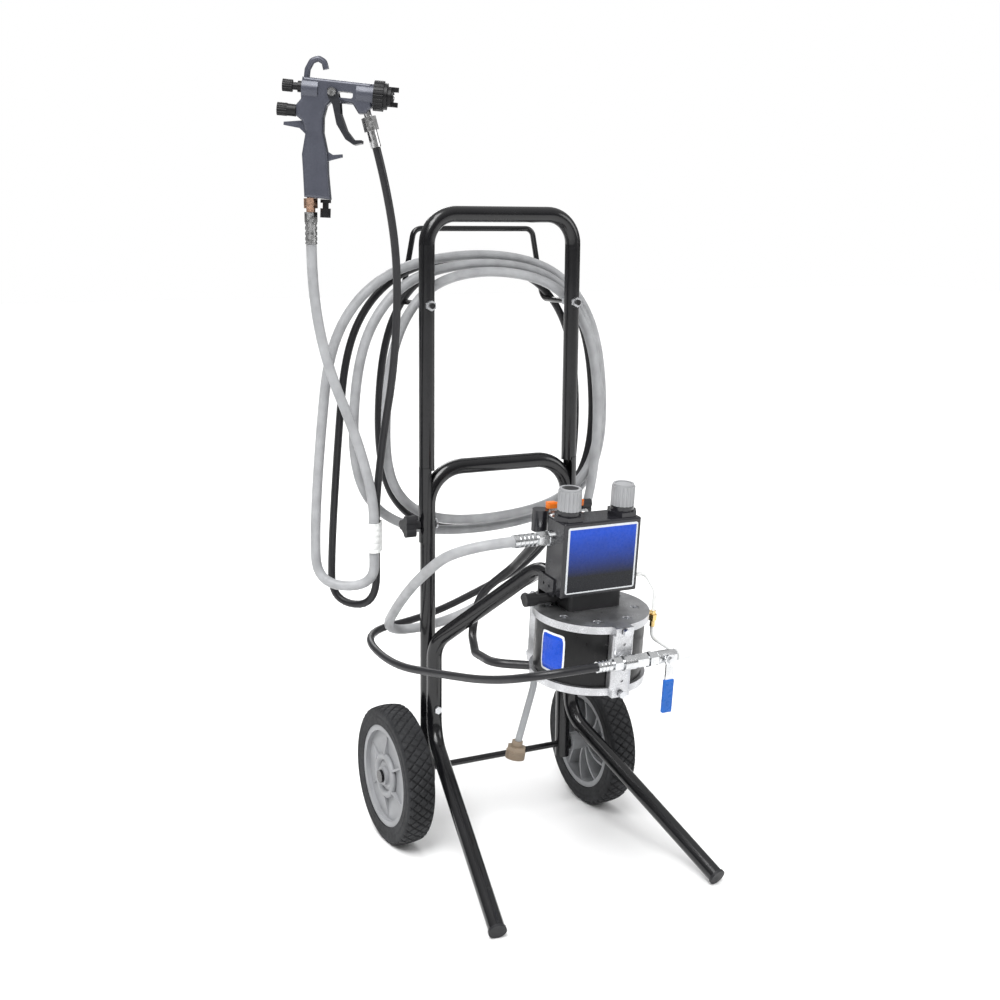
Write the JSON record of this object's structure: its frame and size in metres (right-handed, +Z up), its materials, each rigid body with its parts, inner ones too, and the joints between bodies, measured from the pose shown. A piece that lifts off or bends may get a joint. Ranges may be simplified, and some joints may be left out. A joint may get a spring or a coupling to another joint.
{
  "type": "airless paint sprayer",
  "caption": "Paint sprayer on a two-wheeled tube cart: hanging diaphragm pump, air control box with regulators, spray gun, and coiled air and fluid hoses.",
  "frame": {"origin": "on the floor, under the middle of the axle", "axes": "+Z up, -Y towards the pump and the feet, the axle along X"},
  "size_m": [0.5425, 0.4759, 1.1041],
  "materials": {
    "black_powder_coat": "gloss powder coat",
    "black_plastic": "moulded",
    "grey_plastic": "moulded",
    "tyre_rubber": "diamond tread",
    "cast_aluminium": "machined casting",
    "zinc_steel": "zinc plated",
    "brass": "turned",
    "white_plastic": "moulded",
    "air_hose_rubber": "smooth",
    "fluid_hose_rubber": "smooth",
    "blue_grip": "dipped",
    "orange_paint": "painted",
    "blue_panel": "printed gradient",
    "gun_enamel": "metallic enamel",
    "membrane": "ptfe faced",
    "strainer_plastic": "moulded"
  },
  "bodies": {
    "base": {"lower_frame": "black_powder_coat", "handle": "black_powder_coat", "hose_rack": "black_powder_coat", "leg_left": "black_powder_coat", "leg_right": "black_powder_coat", "foot_plugs": "black_plastic", "frame_fasteners": "zinc_steel", "axle": "zinc_steel", "pump_covers": "cast_aluminium", "cover_screws": "zinc_steel", "pump_drum": "black_plastic", "outlet_manifold": "cast_aluminium", "inlet_manifold": "cast_aluminium", "check_balls": "zinc_steel", "diaphragms": "membrane", "air_valve": "cast_aluminium", "exhaust_elbow": "black_plastic", "suction_tube": "grey_plastic", "strainer": "strainer_plastic", "outlet_fittings": "zinc_steel", "ball_valve_body": "zinc_steel", "drain_line": "white_plastic", "brass_fitting": "brass", "pump_air_hose": "fluid_hose_rubber", "box_shell": "black_powder_coat", "front_panel": "blue_panel", "mounting_bracket": "black_powder_coat", "regulators": "zinc_steel", "inlet_valve_body": "zinc_steel", "air_outlet_fitting": "zinc_steel", "gun_body": "gun_enamel", "trigger_screws": "zinc_steel", "fluid_nozzle": "zinc_steel", "gun_inlets": "zinc_steel", "air_hose_gun_end": "air_hose_rubber", "air_hose_box_end": "air_hose_rubber", "air_hose_coil": "air_hose_rubber", "fluid_hose_gun_end": "fluid_hose_rubber", "fluid_hose_pump_end": "fluid_hose_rubber", "fluid_hose_coil": "fluid_hose_rubber", "hose_wrap": "white_plastic"},
    "wheel_left": {"tyre_left": "tyre_rubber", "hub_left": "grey_plastic"},
    "wheel_right": {"tyre_right": "tyre_rubber", "hub_right": "grey_plastic"},
    "clamp_knob_left": {"clamp_knob_left": "black_plastic"},
    "clamp_knob_right": {"clamp_knob_right": "black_plastic"},
    "regulator_knob_left": {"regulator_knob_left": "grey_plastic"},
    "regulator_knob_right": {"regulator_knob_right": "grey_plastic"},
    "inlet_valve_handle": {"inlet_valve_handle": "orange_paint"},
    "drain_lever": {"ball_valve_lever": "zinc_steel", "lever_grip": "blue_grip"},
    "diaphragm_shaft": {"diaphragm_shaft": "zinc_steel"},
    "gun_trigger": {"gun_trigger": "gun_enamel"},
    "gun_needle": {"gun_needle": "zinc_steel"},
    "fluid_knob": {"fluid_knob": "black_plastic"},
    "fan_knob": {"fan_knob": "black_plastic"},
    "gun_air_knob": {"gun_air_knob": "black_plastic"},
    "air_cap": {"air_cap": "black_plastic"},
    "air_cap_ring": {"air_cap_ring": "black_plastic"}
  },
  "joints": [
    {"name": "wheel_left_spin", "type": "hinge", "parent": "base", "child": "wheel_left", "pos_m": [-0.167, 0, 0.1016], "axis": [1, 0, 0], "continuous": true},
    {"name": "wheel_right_spin", "type": "hinge", "parent": "base", "child": "wheel_right", "pos_m": [0.167, 0, 0.1016], "axis": [1, 0, 0], "continuous": true},
    {"name": "clamp_knob_left_turn", "type": "hinge", "parent": "base", "child": "clamp_knob_left", "pos_m": [-0.14, 0, 0.47], "axis": [1, 0, 0], "range_deg": [-1080, 1080]},
    {"name": "clamp_knob_right_turn", "type": "hinge", "parent": "base", "child": "clamp_knob_right", "pos_m": [0.14, 0, 0.47], "axis": [1, 0, 0], "range_deg": [-1080, 1080]},
    {"name": "regulator_left_turn", "type": "hinge", "parent": "base", "child": "regulator_knob_left", "pos_m": [-0.04, -0.27022, 0.5414], "axis": [0, -0.0872, 0.9962], "range_deg": [-720, 720]},
    {"name": "regulator_right_turn", "type": "hinge", "parent": "base", "child": "regulator_knob_right", "pos_m": [0.04, -0.27022, 0.5414], "axis": [0, -0.0872, 0.9962], "range_deg": [-720, 720]},
    {"name": "inlet_valve_turn", "type": "hinge", "parent": "base", "child": "inlet_valve_handle", "pos_m": [-0.02, -0.22287, 0.51643], "axis": [0, -0.0872, 0.9962], "range_deg": [-90, 0]},
    {"name": "outlet_valve_turn", "type": "hinge", "parent": "base", "child": "drain_lever", "pos_m": [0.055, -0.35701, 0.35162], "axis": [0, -0.9962, -0.0872], "range_deg": [0, 90]},
    {"name": "diaphragm_stroke", "type": "slide", "parent": "base", "child": "diaphragm_shaft", "axis": [0, -0.0872, 0.9962], "range_m": [-0.003, 0.003], "deforming": ["diaphragms"]},
    {"name": "trigger_pull", "type": "hinge", "parent": "base", "child": "gun_trigger", "pos_m": [-0.25, 0, 1.058], "axis": [0.4648, 0.8854, 0], "range_deg": [0, 16], "stiffness_Nm_per_rad": 0.5, "springref_deg": -20.05},
    {"name": "needle_travel", "type": "slide", "parent": "base", "child": "gun_needle", "axis": [-0.882, 0.4631, 0.0872], "range_m": [0, 0.004]},
    {"name": "fluid_knob_turn", "type": "hinge", "parent": "base", "child": "fluid_knob", "pos_m": [-0.30265, 0.02764, 1.06672], "axis": [0.882, -0.4631, -0.0872], "range_deg": [-1080, 1080]},
    {"name": "fan_knob_turn", "type": "hinge", "parent": "base", "child": "fan_knob", "pos_m": [-0.30501, 0.02888, 1.03633], "axis": [0.882, -0.4631, -0.0872], "range_deg": [-720, 720]},
    {"name": "gun_air_knob_turn", "type": "hinge", "parent": "base", "child": "gun_air_knob", "pos_m": [-0.26009, 0.0053, 0.92198], "axis": [-0.033, 0.0173, -0.9993], "range_deg": [-720, 720]},
    {"name": "air_cap_turn", "type": "hinge", "parent": "base", "child": "air_cap", "pos_m": [-0.18814, -0.03248, 1.05339], "axis": [0.882, -0.4631, -0.0872], "range_deg": [-90, 90]},
    {"name": "cap_ring_turn", "type": "hinge", "parent": "base", "child": "air_cap_ring", "pos_m": [-0.19696, -0.02785, 1.05427], "axis": [0.882, -0.4631, -0.0872], "range_deg": [-720, 720]}
  ],
  "couplings": [
    {"joint": "needle_travel", "follows": "trigger_pull", "m_per_rad": 0.014}
  ]
}
